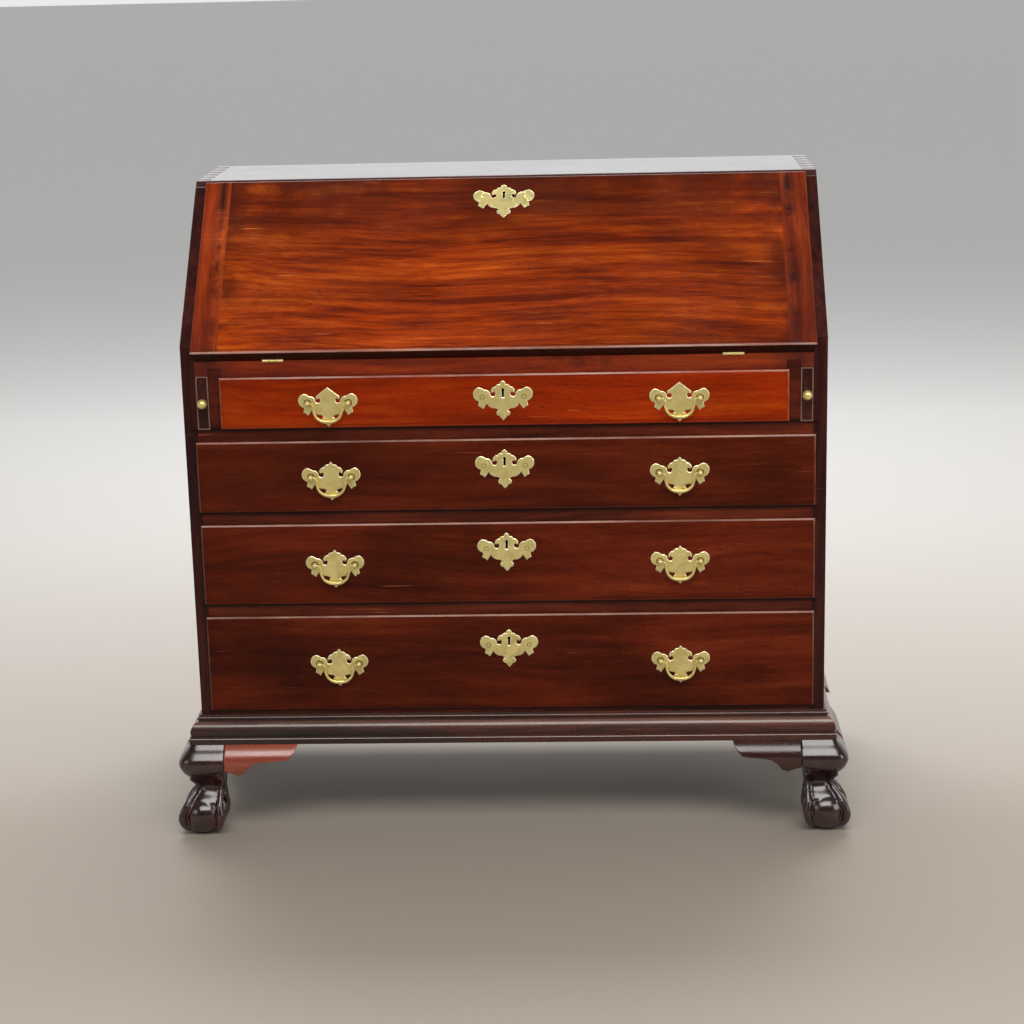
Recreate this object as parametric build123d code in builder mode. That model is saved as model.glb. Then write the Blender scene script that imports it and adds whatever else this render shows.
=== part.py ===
from build123d import *

import math
import os

# A slant-front secretary desk: a dovetailed mahogany case on ball-and-claw feet, with four
# graduated lipped drawers, a fall that opens on two pull-out lopers, and a fitted gallery
# behind it. Millimetres; +Z is up, the front faces -Y, and the origin is on the floor under
# the middle of the desk.

# ---------------------------------------------------------------- overall sizes
case_width = 1040
case_depth = 470
overall_height = 1070
foot_height = 157
base_height = 48
base_strip = 7.5
drawer_heights = [85.2, 118.5, 136, 163.5]
rail_face = 21.3
lid_thickness = 24
slant_angle = 45

# ---------------------------------------------------------------- boards
side_thickness = 22
top_thickness = 20
bottom_thickness = 22
writing_thickness = 22
back_thickness = 12
back_rabbet = 10
divider_thickness = 22
rail_depth = 62
housing = 8
runner_thickness = 18
runner_width = 34
divider_lap_depth = 20
divider_lap_rise = 20

# ---------------------------------------------------------------- fits
fit_gap = 0.3
slide_gap = 0.6
drawer_gap = 1
lip_gap = 0.4
post_fit = 0.1
hinge_fit = 0.05

# ---------------------------------------------------------------- fall, hinges and lopers
lid_lip = 6
lid_lip_overlap = 4.5
lid_bottom_gap = 0.6
lid_top_setback = 6
lid_drawer_room = 2.4
top_bevel = 14
breadboard_width = 44.5
tongue_thickness = 8
tongue_length = 12
moulded_edge = 6
edge_step = 1
edge_radius = 4
hinge_place = 370
hinge_width = 34
hinge_leaf = 30
leaf_thickness = 2
knuckle_radius = 2.6
knuckle_room = 0.5
pin_radius = 1.2
loper_width = 20
loper_length = 380
loper_border = 2.4
loper_sinking = 1
knob_radius = 8.1
knob_neck = 4
knob_reach = 9
knob_inset = 10

# ---------------------------------------------------------------- drawers
lip_overlap = 4.5
lip_thickness = 5.6
front_tenon = 14
drawer_side = 10
drawer_bottom = 8
bottom_groove = 5
bottom_rise = 10
back_drop = 10
drawer_back_room = 14

# ---------------------------------------------------------------- brasses
plate_thickness = 1.6
pull_spread = 283
post_spread = 33
post_drop = 25.6
plate_height = 65
post_radius = 2.4
post_head = 4.8
post_stand = 7
post_nut_radius = 5
post_nut = 3
bail_half = 24.5
bail_drop = 30
bail_corner = 16
bail_radius = 2.2
bail_pin = 1.6
bail_pin_reach = 37
escutcheon_drops = [43, 50, 50, 58]
keyhole_drop = 15.1
keyhole_radius = 2.5
keyhole_slot = 3.6
keyhole_length = 12
nail_spread = 33.4
nail_drop = 26.4
nail_radius = 3
nail_rise = 0.8
lock_half_width = 28
lock_thickness = 8
lock_below_key = 26
lid_plate_scale = 1.055
lid_key_place = 36

# ---------------------------------------------------------------- base and feet
base_inset = 40
base_frame = 21
leg_width = 39
knee_reach = 39.5
ball_reach = 44
bracket_thickness = 22
bracket_reach = 122

# ---------------------------------------------------------------- gallery
gallery_setback = 8
gallery_drawer_height = 60
gallery_board = 8
pigeonholes = 8
gallery_drawers = 4
valance_height = 34
valance_rise = 20
gallery_knob_radius = 6
gallery_knob_reach = 12
gallery_drawer_wall = 6

# ---------------------------------------------------------------- places worked out from the sizes
half_width = case_width / 2
front = -(case_depth - ball_reach) / 2
back = front + case_depth
side_inner = half_width - side_thickness
back_inner = back - back_thickness
base_top = foot_height + base_height
side_bottom = foot_height + base_frame
slope_cos = math.cos(math.radians(slant_angle))
slope_sin = math.sin(math.radians(slant_angle))

# Lip-to-lip heights of the drawers, from the lowest up, and the rails between them.
drawer_low = [0, 0, 0, 0]
drawer_top = [0, 0, 0, 0]
level = base_top + base_strip
for index in reversed(range(4)):
    drawer_low[index] = level
    drawer_top[index] = level + drawer_heights[index]
    level = drawer_top[index] + rail_face
floor_top = drawer_low[3] - slide_gap
hinge_rail_low = drawer_top[0] - lip_overlap
writing_height = drawer_top[0] + lid_drawer_room + lid_thickness
writing_low = writing_height - writing_thickness
loper_top = writing_height - lid_thickness - fit_gap

loper_outer = side_inner - slide_gap
loper_inner = loper_outer - loper_width
divider_outer = loper_inner - slide_gap
divider_inner = divider_outer - divider_thickness
opening_half = [divider_inner, side_inner, side_inner, side_inner]
rail_tops = [drawer_low[0] - slide_gap, drawer_low[1] - slide_gap, drawer_low[2] - slide_gap]
rail_lows = [drawer_top[1] - lip_overlap, drawer_top[2] - lip_overlap, drawer_top[3] - lip_overlap]

# The fall's plane: it starts at the hinge line and rises at the slant.
let_in = lid_thickness - lid_lip
slant_start = writing_height + let_in / slope_cos
top_low = overall_height - top_thickness
top_front = front + (overall_height - slant_start) * slope_cos / slope_sin
slope_top = (top_front - front) * slope_cos + (overall_height - writing_height) * slope_sin
lid_plane = Plane(origin=(0, front, writing_height), x_dir=(1, 0, 0), z_dir=(0, -slope_sin, slope_cos))
lid_length = slope_top - lid_top_setback
lid_body_end = slope_top - top_bevel - drawer_gap
lid_half = side_inner + lid_lip_overlap
lid_body_half = side_inner - drawer_gap
gallery_front = top_front + gallery_setback


def block(x, y, z, mode=Mode.ADD):
    """A box between two values along each axis."""
    with Locations(((x[0] + x[1]) / 2, (y[0] + y[1]) / 2, (z[0] + z[1]) / 2)):
        Box(x[1] - x[0], y[1] - y[0], z[1] - z[0], mode=mode)


def board(x, y, z):
    """A plain board as a piece of its own."""
    with BuildPart() as piece:
        block(x, y, z)
    return piece.part


def left(span):
    """The same span on the other side of the middle."""
    return (-span[1], -span[0])


def save(name, *solids):
    """Write one node, as one solid or as a group of separate ones."""
    node = solids[0] if len(solids) == 1 else Compound(children=list(solids))
    node.label = name
    export_step(node, f"parts/{name}.step")


def save_pair(name, piece):
    """Write a right-hand piece and its mirror image as two nodes."""
    save(f"{name}_right", piece)
    save(f"{name}_left", mirror(piece, about=Plane.YZ))


os.makedirs("parts", exist_ok=True)

# ---------------------------------------------------------------- case sides and top
# Through dovetails: pins on the sides' upper ends, sockets for them in the top.
pin_pitch = 36
pin_outer = 10
pin_inner = 18
pin_room = case_depth - (top_front - front) - back_thickness
pin_count = max(2, int(pin_room / pin_pitch))
pin_places = [top_front + pin_room * (index + 0.5) / pin_count for index in range(pin_count)]


def cut_pins(sign, mode):
    """The dovetail pins at one end of the top, added to a side or cut from the top."""
    for place in pin_places:
        with BuildSketch(Plane.XY.offset(top_low)) as pin_end:
            with BuildLine():
                Polyline(
                    (sign * side_inner, place - pin_inner / 2),
                    (sign * half_width, place - pin_outer / 2),
                    (sign * half_width, place + pin_outer / 2),
                    (sign * side_inner, place + pin_inner / 2),
                    close=True,
                )
            make_face()
        extrude(pin_end.sketch, amount=top_thickness, mode=mode)


bevel_y = top_front - top_bevel * slope_cos
bevel_z = overall_height - top_bevel * slope_sin
bevel_foot = bevel_y + (bevel_z - top_low) * slope_sin / slope_cos

with BuildPart() as side:
    with BuildSketch(Plane.YZ.offset(side_inner)):
        with BuildLine():
            Polyline(
                (front, side_bottom),
                (front, slant_start),
                (bevel_y, bevel_z),
                (bevel_foot, top_low),
                (back, top_low),
                (back, side_bottom),
                close=True,
            )
        make_face()
    extrude(amount=side_thickness)
    cut_pins(1, Mode.ADD)
    housed = (side_inner, side_inner + housing)
    block(housed, (front, back_inner), (floor_top - bottom_thickness, floor_top), Mode.SUBTRACT)
    block(housed, (front, front + rail_depth), (hinge_rail_low, writing_height), Mode.SUBTRACT)
    block(housed, (front, back_inner), (writing_low, writing_height), Mode.SUBTRACT)
    for low, high in zip(rail_lows, rail_tops):
        block(housed, (front, front + rail_depth), (low, high), Mode.SUBTRACT)
    rabbet = (side_inner, side_inner + back_rabbet)
    block(rabbet, (back_inner, back), (side_bottom, top_low), Mode.SUBTRACT)
save_pair("side", side.part)

with BuildPart() as top_board:
    with BuildSketch(Plane.YZ.offset(-half_width)):
        with BuildLine():
            Polyline(
                (top_front, overall_height),
                (bevel_y, bevel_z),
                (bevel_foot, top_low),
                (back, top_low),
                (back, overall_height),
                close=True,
            )
        make_face()
    extrude(amount=case_width)
    cut_pins(1, Mode.SUBTRACT)
    cut_pins(-1, Mode.SUBTRACT)
save("top_board", top_board.part)

# ---------------------------------------------------------------- inside boards of the case
housed_half = side_inner + housing
across = (-housed_half, housed_half)
save("bottom_board", board(across, (front, back_inner), (floor_top - bottom_thickness, floor_top)))

lap = (front, front + divider_lap_depth)
divider_span = (divider_inner, divider_outer)
loper_slot = (divider_outer, side_inner)

rails = []
for index in range(3):
    with BuildPart() as rail:
        block(across, (front, front + rail_depth), (rail_lows[index], rail_tops[index]))
        if index == 0:
            for span in (divider_span, left(divider_span)):
                block(span, lap, (rail_lows[0], rail_tops[0]), Mode.SUBTRACT)
    rails.append(rail.part)
save("drawer_rails", *rails)

with BuildPart() as hinge_rail:
    block(across, (front, front + rail_depth), (hinge_rail_low, writing_height))
    for span in (loper_slot, left(loper_slot)):
        block(span, (front, front + rail_depth), (hinge_rail_low, loper_top + fit_gap), Mode.SUBTRACT)
    for span in (divider_span, left(divider_span)):
        block(span, lap, (hinge_rail_low, hinge_rail_low + divider_lap_rise), Mode.SUBTRACT)
    for place in (-hinge_place, hinge_place):
        room = hinge_width / 2 + fit_gap
        seat = (place - room, place + room)
        leaf_seat = (front, front + hinge_leaf + fit_gap)
        block(seat, leaf_seat, (writing_height - leaf_thickness, writing_height), Mode.SUBTRACT)
        with Locations(Location((place, front, writing_height), (0, 90, 0))):
            Cylinder(knuckle_radius + knuckle_room, 2 * room, mode=Mode.SUBTRACT)
save("hinge_rail", hinge_rail.part)

writing_span = (front + rail_depth, back_inner)
save("writing_board", board(across, writing_span, (writing_low, writing_height)))

with BuildPart() as divider:
    block(divider_span, (front + divider_lap_depth, back_inner), (rail_tops[0], hinge_rail_low))
    block(divider_span, (front + rail_depth, back_inner), (hinge_rail_low, writing_low))
    block(divider_span, lap, (rail_lows[0], hinge_rail_low + divider_lap_rise))
save("loper_dividers", divider.part, mirror(divider.part, about=Plane.YZ))

runners = []
for index, top in enumerate(rail_tops):
    inner = divider_inner - runner_width if index == 0 else side_inner - runner_width
    span = (inner, side_inner)
    for place in (span, left(span)):
        runners.append(board(place, (front + rail_depth, back_inner), (top - runner_thickness, top)))
save("drawer_runners", *runners)

back_planks = 4
plank_height = (top_low - side_bottom) / back_planks
planks = []
for index in range(back_planks):
    low = side_bottom + index * plank_height
    high = low + plank_height - fit_gap
    plank_half = side_inner + back_rabbet
    planks.append(board((-plank_half, plank_half), (back_inner, back), (low, high)))
save("back_boards", *planks)

# ---------------------------------------------------------------- base moulding
# Its section, as the reach beyond the case and the height: fillet, bead, quirk, torus,
# fillet and fascia, with a flat frame turned in under the case sides.
fascia = 20


def base_section(sign, edge):
    """The moulding's section, drawn outwards from one face of the case."""

    def at(reach, height):
        return (edge + sign * reach, foot_height + height)

    Polyline(at(0, base_height), at(4, base_height), at(4, 44.5))
    ThreePointArc(at(4, 44.5), at(7, 41.8), at(5, 39))
    Line(at(5, 39), at(5, 37))
    Line(at(5, 37), at(8, 36.5))
    ThreePointArc(at(8, 36.5), at(17.3, 25.5), at(16.5, 13))
    Polyline(at(16.5, 13), at(19.2, 13), at(19.2, 10), at(fascia, 9), at(fascia, 0))
    Polyline(at(fascia, 0), at(-base_inset, 0), at(-base_inset, base_frame), at(0, base_frame))
    Line(at(0, base_frame), at(0, base_height))


mitre = Plane(origin=(half_width, front, 0), z_dir=(1, 1, 0))
mitre_left = Plane(origin=(-half_width, front, 0), z_dir=(-1, 1, 0))
with BuildPart() as base_front:
    with BuildSketch(Plane.YZ.offset(-half_width - fascia)):
        with BuildLine():
            base_section(-1, front)
        make_face()
    extrude(amount=case_width + 2 * fascia)
    split(bisect_by=mitre, keep=Keep.BOTTOM)
    split(bisect_by=mitre_left, keep=Keep.BOTTOM)
save("base_moulding_front", base_front.part)

with BuildPart() as base_side:
    with BuildSketch(Plane.XZ.offset(-back)):
        with BuildLine():
            base_section(1, half_width)
        make_face()
    extrude(amount=case_depth + fascia)
    split(bisect_by=mitre, keep=Keep.TOP)
save_pair("base_moulding", base_side.part)

# ---------------------------------------------------------------- feet
# A foot is sawn to the same cabriole line on two faces: knee, ankle, then the ball.
ankle_height = 80
ball_height = 30


def leg_line(edge, sign):
    """The cabriole outline, reaching outwards from one face of the case."""

    def at(reach, height):
        return (edge + sign * reach, height)

    Polyline(at(-leg_width, foot_height), at(fascia, foot_height))
    Spline(
        at(fascia, foot_height),
        at(knee_reach, 124),
        at(14.5, ankle_height),
        at(33, 56),
        at(ball_reach, ball_height),
        at(32, 0),
    )
    Line(at(32, 0), at(-10, 0))
    Spline(at(-10, 0), at(-35, ball_height), at(-31, 62), at(-33, 110))
    Polyline(at(-33, 110), at(-leg_width, 116), at(-leg_width, foot_height))


with BuildPart() as foot_front:
    with BuildSketch(Plane.XZ.offset(-(front + leg_width))):
        with BuildLine():
            leg_line(half_width, 1)
        make_face()
    extrude(amount=leg_width + ball_reach)
    with BuildSketch(Plane.YZ.offset(half_width - leg_width)):
        with BuildLine():
            leg_line(front, -1)
        make_face()
    extrude(amount=leg_width + ball_reach, mode=Mode.INTERSECT)
save_pair("foot_front", foot_front.part)

# The back feet have the same face to the side and a flat back.
back_foot_width = 84
with BuildPart() as foot_back:
    with BuildSketch(Plane.XZ.offset(-back)):
        with BuildLine():
            leg_line(half_width, 1)
        make_face()
    extrude(amount=back_foot_width)
    with BuildSketch(Plane.YZ.offset(half_width - leg_width)):
        with BuildLine():
            Polyline((back, foot_height), (back, 0), (back - 58, 0))
            Spline(
                (back - 58, 0),
                (back - 76, ball_height),
                (back - 50, ankle_height),
                (back - back_foot_width, 118),
            )
            Polyline((back - back_foot_width, 118), (back - back_foot_width, foot_height), (back, foot_height))
        make_face()
    extrude(amount=leg_width + ball_reach, mode=Mode.INTERSECT)
save_pair("foot_back", foot_back.part)

# ---------------------------------------------------------------- brackets beside the feet


def bracket_line(start, sign, reach):
    """The lower outline of a bracket that runs away from a leg."""

    def at(along, height):
        return (start + sign * along, height)

    Line(at(0, foot_height), at(0, 114))
    ThreePointArc(at(0, 114), at(10, 111.5), at(20, 107))
    ThreePointArc(at(20, 107), at(29, 108.5), at(36, 116))
    ThreePointArc(at(36, 116), at(45, 125), at(60, 130))
    Line(at(60, 130), at(reach - 17, 134))
    ThreePointArc(at(reach - 17, 134), at(reach - 9, 141), at(reach, foot_height))
    Line(at(reach, foot_height), at(0, foot_height))


def bracket_section(edge, sign):
    """The swelled face of a bracket, the same as the knee it meets."""

    def at(reach, height):
        return (edge + sign * reach, height)

    Line(at(fascia - bracket_thickness, foot_height), at(fascia, foot_height))
    Spline(at(fascia, foot_height), at(knee_reach - 0.6, 128), at(30, 102))
    Polyline(at(30, 102), at(fascia - bracket_thickness, 102))
    Line(at(fascia - bracket_thickness, 102), at(fascia - bracket_thickness, foot_height))


def front_bracket(reach):
    """The bracket to the right of the middle, at the front."""
    start = half_width - leg_width
    with BuildPart() as bracket:
        with BuildSketch(Plane.XZ.offset(-(front + bracket_thickness))):
            with BuildLine():
                bracket_line(start, -1, reach)
            make_face()
        extrude(amount=bracket_thickness + ball_reach)
        with BuildSketch(Plane.YZ.offset(start - reach)):
            with BuildLine():
                bracket_section(front, -1)
            make_face()
        extrude(amount=reach, mode=Mode.INTERSECT)
    return bracket.part


def side_bracket(start, sign):
    """A bracket on the right-hand side of the desk."""
    with BuildPart() as bracket:
        with BuildSketch(Plane.YZ.offset(half_width - bracket_thickness)):
            with BuildLine():
                bracket_line(start, sign, bracket_reach)
            make_face()
        extrude(amount=bracket_thickness + ball_reach)
        with BuildSketch(Plane.XZ.offset(-max(start, start + sign * bracket_reach))):
            with BuildLine():
                bracket_section(half_width, 1)
            make_face()
        extrude(amount=bracket_reach, mode=Mode.INTERSECT)
    return bracket.part


save("bracket_front_left", mirror(front_bracket(bracket_reach + 1), about=Plane.YZ))
save("bracket_front_right", front_bracket(bracket_reach - 9))
side_pair = [side_bracket(front + leg_width, 1), side_bracket(back - back_foot_width, -1)]
save("side_brackets_right", *side_pair)
save("side_brackets_left", *[mirror(piece, about=Plane.YZ) for piece in side_pair])

# ---------------------------------------------------------------- fall
# It is drawn flat, X across, Y up the slope and Z outwards, and then laid on its plane.
step_z = lid_thickness - edge_step
panel_half = lid_half - breadboard_width
tongue = (let_in / 2 - tongue_thickness / 2, let_in / 2 + tongue_thickness / 2)
lip_low = let_in + fit_gap
key_slope = lid_length - lid_key_place

with BuildPart() as lid_panel:
    across_panel = (-panel_half, panel_half)
    block(across_panel, (lid_bottom_gap, lid_length), (lip_low, step_z))
    edges = lid_panel.faces().sort_by(Axis.Z)[-1].edges().filter_by(Axis.X)
    fillet(edges, edge_radius)
    block(across_panel, (lid_bottom_gap, lid_body_end), (0, lip_low))
    inset = (lid_bottom_gap + moulded_edge, lid_length - moulded_edge)
    block(across_panel, inset, (step_z, lid_thickness))
    tongue_half = panel_half + tongue_length
    block((-tongue_half, tongue_half), (lid_bottom_gap + moulded_edge, lid_body_end - moulded_edge), tongue)
    for place in (-hinge_place, hinge_place):
        room = hinge_width / 2 + fit_gap
        seat = (place - room, place + room)
        block(seat, (0, hinge_leaf + fit_gap), (0, leaf_thickness), Mode.SUBTRACT)
        with Locations(Location((place, 0, 0), (0, 90, 0))):
            Cylinder(knuckle_radius + knuckle_room, 2 * room, mode=Mode.SUBTRACT)
    lock_span = (-lock_half_width, lock_half_width)
    lock_slope = (key_slope - lock_below_key, lid_body_end)
    block(lock_span, lock_slope, (0, lock_thickness), Mode.SUBTRACT)
    with Locations((0, key_slope, (lid_thickness + lock_thickness) / 2)):
        Cylinder(keyhole_radius, lid_thickness - lock_thickness, mode=Mode.SUBTRACT)
    with Locations((0, key_slope - keyhole_length / 2, (lid_thickness + lock_thickness) / 2)):
        Box(keyhole_slot, keyhole_length, lid_thickness - lock_thickness, mode=Mode.SUBTRACT)
save("lid_panel", lid_plane.location * lid_panel.part)

with BuildPart() as lid_end:
    block((panel_half, lid_half), (lid_bottom_gap, lid_length), (lip_low, step_z))
    outer = lid_end.faces().sort_by(Axis.Z)[-1].edges()
    fillet(outer.filter_by(Axis.X) + outer.filter_by(Axis.Y).sort_by(Axis.X)[-1:], edge_radius)
    block((panel_half, lid_body_half), (lid_bottom_gap, lid_body_end), (0, lip_low))
    block((panel_half, lid_half - moulded_edge), inset, (step_z, lid_thickness))
    groove = (panel_half, panel_half + tongue_length)
    groove_slope = (lid_bottom_gap + moulded_edge, lid_body_end - moulded_edge)
    block(groove, groove_slope, tongue, Mode.SUBTRACT)
save("lid_end_right", lid_plane.location * lid_end.part)
save("lid_end_left", lid_plane.location * mirror(lid_end.part, about=Plane.YZ))

with BuildPart() as lid_lock:
    block(lock_span, lock_slope, (0, lock_thickness))
save("lid_lock", lid_plane.location * lid_lock.part)

# ---------------------------------------------------------------- hinges of the fall
third = hinge_width / 3


def knuckle(place, radius, length):
    """One barrel of a hinge, on the hinge line."""
    with Locations(Location((place, 0, 0), (0, 90, 0))):
        Cylinder(radius, length)


def bore(place):
    """The pin's hole through the whole width of a leaf."""
    with Locations(Location((place, 0, 0), (0, 90, 0))):
        Cylinder(pin_radius + hinge_fit, hinge_width, mode=Mode.SUBTRACT)


case_leaves = []
lid_leaves = []
pins = []
leaf_start = knuckle_radius + knuckle_room
hinge_line = Location((0, front, writing_height))
for place in (-hinge_place, hinge_place):
    with BuildPart() as case_leaf:
        block((place - hinge_width / 2, place + hinge_width / 2), (leaf_start, hinge_leaf), (-leaf_thickness, 0))
        for barrel in (place - third, place + third):
            block((barrel - third / 2, barrel + third / 2), (0, leaf_start), (-leaf_thickness, 0))
            knuckle(barrel, knuckle_radius, third)
        bore(place)
    case_leaves.append(hinge_line * case_leaf.part)
    with BuildPart() as lid_leaf:
        block((place - hinge_width / 2, place + hinge_width / 2), (leaf_start, hinge_leaf), (0, leaf_thickness))
        middle = third / 2 - fit_gap
        block((place - middle, place + middle), (0, leaf_start), (0, leaf_thickness))
        knuckle(place, knuckle_radius, 2 * middle)
        bore(place)
    lid_leaves.append(lid_plane.location * lid_leaf.part)
    with BuildPart() as pin:
        knuckle(place, pin_radius, hinge_width)
    pins.append(hinge_line * pin.part)
save("hinge_leaves_case", *case_leaves)
save("hinge_leaves_lid", *lid_leaves)
save("hinge_pins", *pins)

# ---------------------------------------------------------------- lopers and their knobs
loper_low = rail_tops[0] + fit_gap
with BuildPart() as loper:
    block((loper_inner, loper_outer), (front - loper_sinking, front + loper_length), (loper_low, loper_top))
    block(
        (loper_inner + loper_border, loper_outer - loper_border),
        (front - loper_sinking, front),
        (loper_low + loper_border, loper_top - loper_border),
        Mode.SUBTRACT,
    )
    knob_x = (loper_inner + loper_outer) / 2
    knob_z = (loper_low + loper_top) / 2
    with Locations(Location((knob_x, front + knob_inset / 2, knob_z), (90, 0, 0))):
        Cylinder(knob_neck / 2, knob_inset, mode=Mode.SUBTRACT)
save_pair("loper", loper.part)

collar = knob_radius * 0.7
head_start = math.sqrt(knob_radius**2 - knob_neck**2) - knob_reach
with BuildPart() as loper_knob:
    with BuildSketch(Plane.YZ):
        with BuildLine():
            ThreePointArc((-knob_reach - knob_radius, 0), (-knob_reach, knob_radius), (head_start, knob_neck))
            Polyline(
                (head_start, knob_neck),
                (head_start, collar),
                (0, collar),
                (0, knob_neck / 2),
                (knob_inset, knob_neck / 2),
                (knob_inset, 0),
                (-knob_reach - knob_radius, 0),
            )
        make_face()
    revolve(axis=Axis.Y)
save_pair("loper_knob", Location((knob_x, front, knob_z)) * loper_knob.part)

# ---------------------------------------------------------------- outlines of the brass plates


def wing_line(scale, peak):
    """Half of a batwing plate, from its top point to its bottom point."""

    def at(out, drop):
        return (out * scale, -drop * scale)

    peak(at)
    ThreePointArc(at(18.6, 14.4), at(19.2, 17.6), at(17, 20))
    ThreePointArc(at(17, 20), at(14.6, 18.2), at(12.2, 20.8))
    ThreePointArc(at(12.2, 20.8), at(14.6, 25.4), at(20.2, 21))
    ThreePointArc(at(20.2, 21), at(24.5, 15.6), at(30, 14.6))
    ThreePointArc(at(30, 14.6), at(34, 12), at(39, 10.4))
    ThreePointArc(at(39, 10.4), at(47.7, 19), at(38.8, 33.4))
    Line(at(38.8, 33.4), at(40.3, 41.2))
    ThreePointArc(at(40.3, 41.2), at(36.6, 42.8), at(32.5, 46.2))
    Line(at(32.5, 46.2), at(26, 36.6))
    ThreePointArc(at(26, 36.6), at(21.5, 42.8), at(14.5, 45.4))
    ThreePointArc(at(14.5, 45.4), at(10.6, 46.2), at(7.8, 49))
    ThreePointArc(at(7.8, 49), at(11, 53), at(6, 57.6))
    Polyline(at(6, 57.6), at(4.2, 60.4), at(0, plate_height))
    Line(at(0, plate_height), at(0, 0))


def plain_peak(at):
    """The plain pointed top of the plates on the first drawer's pulls."""
    Line(at(0, 0), at(18.6, 14.4))


def scalloped_peak(at):
    """The pointed and scalloped top of the other pulls' plates."""
    Line(at(0, 0), at(4.2, 5))
    ThreePointArc(at(4.2, 5), at(9, 6), at(11.5, 9.4))
    ThreePointArc(at(11.5, 9.4), at(16, 10.8), at(18.6, 14.4))


def finial_peak(at):
    """The stepped top of a plate with a keyhole."""
    ThreePointArc(at(0, 0), at(3.6, 2.2), at(4.8, 6))
    ThreePointArc(at(4.8, 6), at(9, 6.4), at(11.5, 9.4))
    ThreePointArc(at(11.5, 9.4), at(16, 10.8), at(18.6, 14.4))


def plate(plane, scale, peak, key):
    """A cast plate with filed edges, its top point at the plane's origin."""
    with BuildPart() as piece:
        with BuildSketch(plane):
            with BuildLine():
                wing_line(scale, peak)
            make_face()
            mirror(about=Plane.YZ)
            if key:
                with Locations((0, -keyhole_drop * scale)):
                    Circle(keyhole_radius, mode=Mode.SUBTRACT)
                with Locations((0, -keyhole_drop * scale - keyhole_length / 2)):
                    Rectangle(keyhole_slot, keyhole_length, mode=Mode.SUBTRACT)
            else:
                with Locations((-post_spread, -post_drop), (post_spread, -post_drop)):
                    Circle(post_radius + post_fit, mode=Mode.SUBTRACT)
        extrude(amount=plate_thickness)
    return piece.part


def nails(plane, scale):
    """The two round nail heads on a plate with a keyhole."""
    heads = []
    for sign in (-1, 1):
        with BuildPart() as nail:
            with BuildSketch(plane.offset(plate_thickness)):
                with Locations((sign * nail_spread * scale, -nail_drop * scale)):
                    Circle(nail_radius)
            extrude(amount=nail_rise)
        heads.append(nail.part)
    return heads


plate_top = Plane(
    origin=lid_plane.from_local_coords((0, key_slope + keyhole_drop * lid_plate_scale, lid_thickness)),
    x_dir=(1, 0, 0),
    z_dir=lid_plane.z_dir,
)
save("lid_escutcheon", plate(plate_top, lid_plate_scale, finial_peak, True), *nails(plate_top, lid_plate_scale))

# ---------------------------------------------------------------- the four long drawers
face_y = front - lip_thickness - lip_gap - edge_step
step_y = front - lip_thickness - lip_gap
tenon_back = front + front_tenon
post_y = face_y - plate_thickness - post_stand
box_back = back_inner - drawer_back_room


def bail(centre, height):
    """A bail that hangs from its two pins."""
    with BuildPart() as piece:
        with BuildLine(Plane.XZ.offset(-post_y)) as path:
            FilletPolyline(
                (centre - bail_half, height),
                (centre - bail_half, height - bail_drop),
                (centre + bail_half, height - bail_drop),
                (centre + bail_half, height),
                radius=bail_corner,
            )
        with BuildSketch(Plane(origin=path.line @ 0, z_dir=path.line % 0)):
            Circle(bail_radius)
        sweep()
        for sign in (-1, 1):
            with Locations((centre + sign * bail_half, post_y, height)):
                Sphere(bail_radius)
            reach = bail_pin_reach - bail_half
            middle = centre + sign * (bail_half + reach / 2)
            with Locations(Location((middle, post_y, height), (0, 90, 0))):
                Cylinder(bail_pin, reach)
    return piece.part


def post(centre, height):
    """A cast eye post: head, shank through the front, and its nut inside the drawer."""
    neck = math.sqrt(post_head**2 - post_radius**2)
    nut_front = tenon_back - post_y
    nut_back = nut_front + post_nut
    with BuildPart() as piece:
        with BuildSketch(Plane.YZ):
            with BuildLine():
                ThreePointArc((-post_head, 0), (0, post_head), (neck, post_radius))
                Polyline(
                    (neck, post_radius),
                    (nut_front, post_radius),
                    (nut_front, post_nut_radius),
                    (nut_back, post_nut_radius),
                    (nut_back, 0),
                    (-post_head, 0),
                )
            make_face()
        revolve(axis=Axis.Y)
        with Locations(Location((0, 0, 0), (0, 90, 0))):
            Cylinder(bail_pin + hinge_fit, 2 * post_head + 1, mode=Mode.SUBTRACT)
    return Location((centre, post_y, height)) * piece.part


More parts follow.
